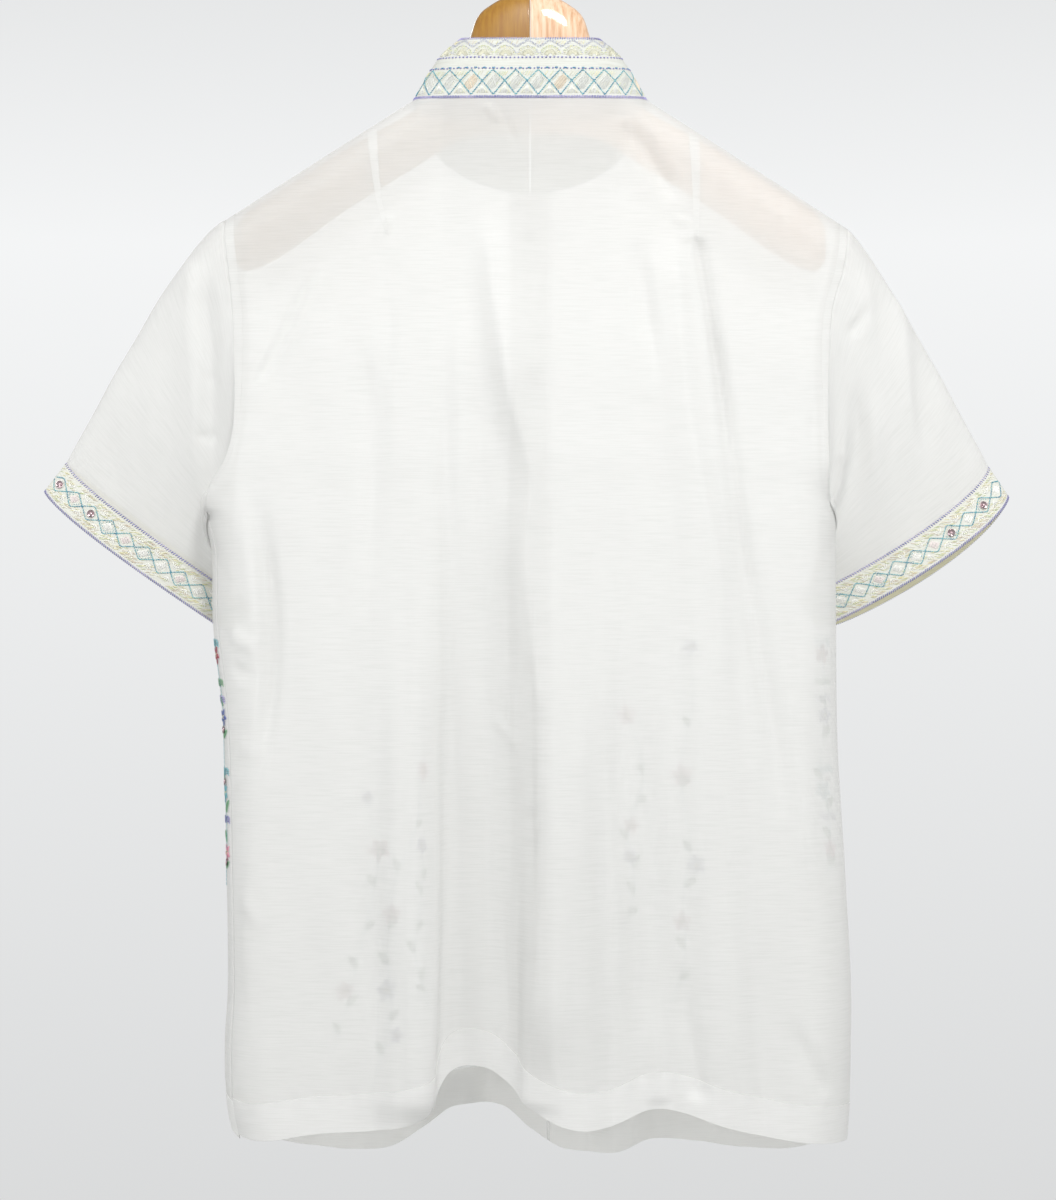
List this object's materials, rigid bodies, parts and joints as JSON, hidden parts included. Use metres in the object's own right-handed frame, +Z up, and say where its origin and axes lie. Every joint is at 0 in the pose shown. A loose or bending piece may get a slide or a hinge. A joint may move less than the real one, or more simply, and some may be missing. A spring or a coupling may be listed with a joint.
{
  "type": "embroidered blouse on a wooden hanger",
  "caption": "Short-sleeved blouse of thin white cloth with an embroidered stand collar and cuffs, hanging on a wooden hanger.",
  "frame": {"origin": "the inside top of the hanger's hook, where a rail or peg carries it", "axes": "+Z up, the blouse's front towards -Y, the wearer's left towards +X"},
  "size_m": [0.7006, 0.1106, 0.8871],
  "materials": {
    "cloth": "thin, slightly sheer plain weave with fine horizontal slubs",
    "band": "doubled cloth covered with teal, lavender, cream and yellow stitching",
    "button": "pale shell-like",
    "wood": "clear gloss lacquer",
    "wire": "bright plated wire"
  },
  "bodies": {
    "root": {"back_upper": "cloth", "back_lower": "cloth", "front_left": "cloth", "front_right": "cloth", "hem_back": "cloth", "hem_front_left": "cloth", "hem_front_right": "cloth", "placket": "cloth", "button_1": "button", "button_2": "button", "button_3": "button", "button_4": "button", "button_5": "button", "button_6": "button", "sleeve_left": "cloth", "sleeve_right": "cloth", "cuff_left": "band", "cuff_right": "band", "collar": "band", "hanger_left": "wood", "hanger_right": "wood", "hanger_hook": "wire"}
  },
  "joints": []
}
